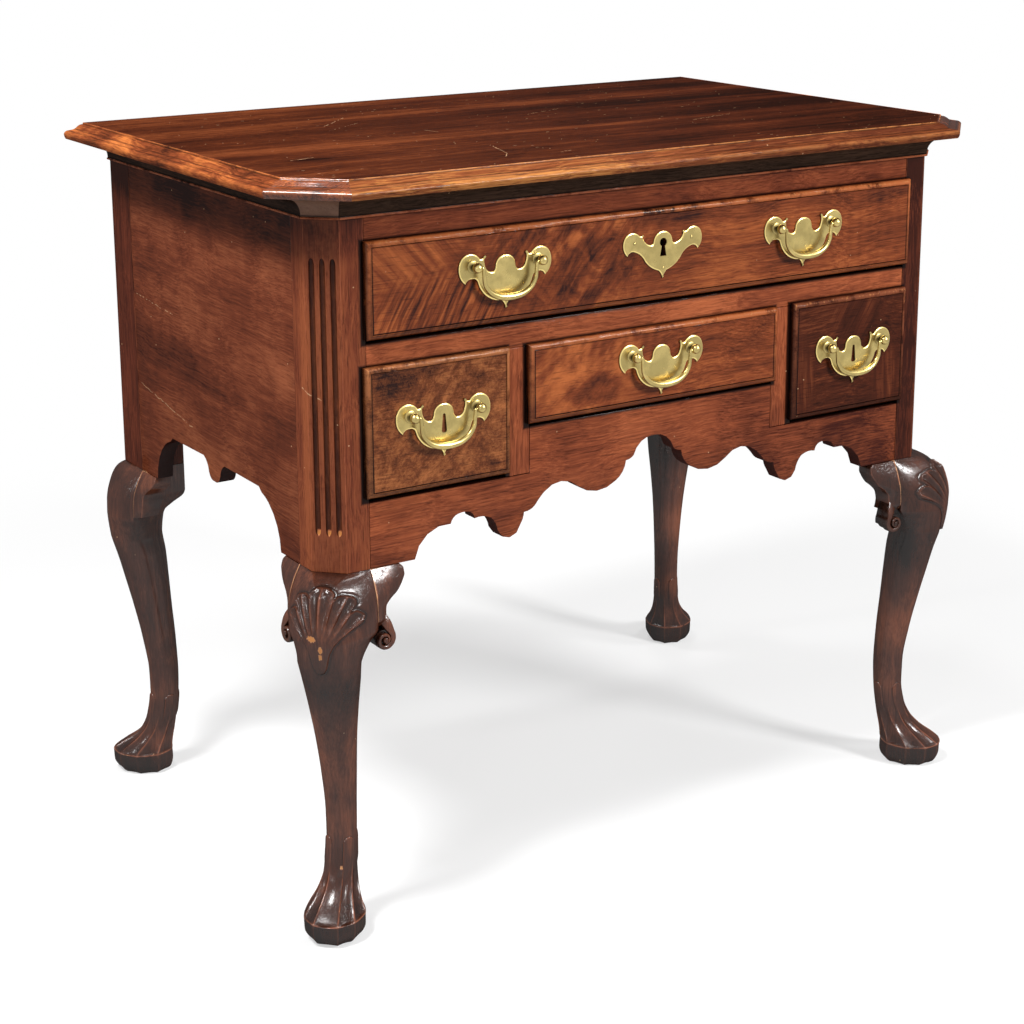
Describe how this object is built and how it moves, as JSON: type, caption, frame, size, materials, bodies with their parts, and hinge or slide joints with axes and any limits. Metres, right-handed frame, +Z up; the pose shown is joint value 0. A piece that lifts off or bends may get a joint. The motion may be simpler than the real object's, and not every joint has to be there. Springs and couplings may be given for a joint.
{
  "type": "dressing table",
  "caption": "Walnut dressing table with a canted case, lipped drawers, scalloped skirts and cabriole legs with trifid feet.",
  "frame": {"origin": "on the floor, under the middle of the whole table", "axes": "+X to the right end seen from the front, +Y to the back, +Z up; the drawers open towards -Y"},
  "size_m": [0.846, 0.5472, 0.743],
  "materials": {
    "walnut_top": "polished dark walnut",
    "walnut_legs": "polished, darkened walnut",
    "walnut_case": "polished red-brown walnut",
    "walnut_figured": "polished figured walnut",
    "poplar": "bare, aged secondary wood",
    "brass": "worn, softly polished",
    "iron": "dark, rubbed iron"
  },
  "bodies": {
    "carcase": {"top_board": "walnut_top", "cove_front": "walnut_top", "cove_left": "walnut_top", "cove_right": "walnut_top", "leg_front_left": "walnut_legs", "leg_front_right": "walnut_legs", "leg_rear_left": "walnut_legs", "leg_rear_right": "walnut_legs", "bracket_front_left": "walnut_legs", "bracket_front_right": "walnut_legs", "bracket_side_left": "walnut_legs", "bracket_side_right": "walnut_legs", "bracket_rear_left": "walnut_legs", "bracket_rear_right": "walnut_legs", "apron": "walnut_case", "side_left": "walnut_case", "side_right": "walnut_case", "top_rail": "walnut_case", "mid_rail": "walnut_case", "divider_left": "walnut_case", "divider_right": "walnut_case", "back_panel": "poplar", "runner_upper_left": "poplar", "runner_upper_right": "poplar", "runner_lower_left": "poplar", "runner_lower_right": "poplar", "guide_left": "poplar", "guide_right": "poplar"},
    "drawer_long": {"drawer_long_front": "walnut_figured", "drawer_long_side_left": "poplar", "drawer_long_side_right": "poplar", "drawer_long_back": "poplar", "drawer_long_bottom": "poplar", "plate_long_left": "brass", "plate_long_right": "brass", "escutcheon": "brass", "lock_case": "iron"},
    "drawer_left": {"drawer_left_front": "walnut_figured", "drawer_left_side_left": "poplar", "drawer_left_side_right": "poplar", "drawer_left_back": "poplar", "drawer_left_bottom": "poplar", "plate_left": "brass"},
    "drawer_middle": {"drawer_middle_front": "walnut_figured", "drawer_middle_side_left": "poplar", "drawer_middle_side_right": "poplar", "drawer_middle_back": "poplar", "drawer_middle_bottom": "poplar", "plate_middle": "brass"},
    "drawer_right": {"drawer_right_front": "walnut_figured", "drawer_right_side_left": "poplar", "drawer_right_side_right": "poplar", "drawer_right_back": "poplar", "drawer_right_bottom": "poplar", "plate_right": "brass"},
    "bail_long_left": {"bail_long_left": "brass"},
    "bail_long_right": {"bail_long_right": "brass"},
    "bail_left": {"bail_left": "brass"},
    "bail_middle": {"bail_middle": "brass"},
    "bail_right": {"bail_right": "brass"}
  },
  "joints": [
    {"name": "drawer_long_slide", "type": "slide", "parent": "carcase", "child": "drawer_long", "axis": [0, -1, 0], "range_m": [0, 0.3]},
    {"name": "drawer_left_slide", "type": "slide", "parent": "carcase", "child": "drawer_left", "axis": [0, -1, 0], "range_m": [0, 0.29]},
    {"name": "drawer_middle_slide", "type": "slide", "parent": "carcase", "child": "drawer_middle", "axis": [0, -1, 0], "range_m": [0, 0.29]},
    {"name": "drawer_right_slide", "type": "slide", "parent": "carcase", "child": "drawer_right", "axis": [0, -1, 0], "range_m": [0, 0.29]},
    {"name": "bail_long_left_swing", "type": "hinge", "parent": "drawer_long", "child": "bail_long_left", "pos_m": [-0.183, -0.24738, 0.64745], "axis": [-1, 0, 0], "range_deg": [0, 95]},
    {"name": "bail_long_right_swing", "type": "hinge", "parent": "drawer_long", "child": "bail_long_right", "pos_m": [0.183, -0.24738, 0.64745], "axis": [-1, 0, 0], "range_deg": [0, 95]},
    {"name": "bail_left_swing", "type": "hinge", "parent": "drawer_left", "child": "bail_left", "pos_m": [-0.253, -0.24738, 0.51235], "axis": [-1, 0, 0], "range_deg": [0, 95]},
    {"name": "bail_middle_swing", "type": "hinge", "parent": "drawer_middle", "child": "bail_middle", "pos_m": [0.002, -0.24738, 0.5361], "axis": [-1, 0, 0], "range_deg": [0, 95]},
    {"name": "bail_right_swing", "type": "hinge", "parent": "drawer_right", "child": "bail_right", "pos_m": [0.257, -0.24738, 0.51235], "axis": [-1, 0, 0], "range_deg": [0, 95]}
  ]
}
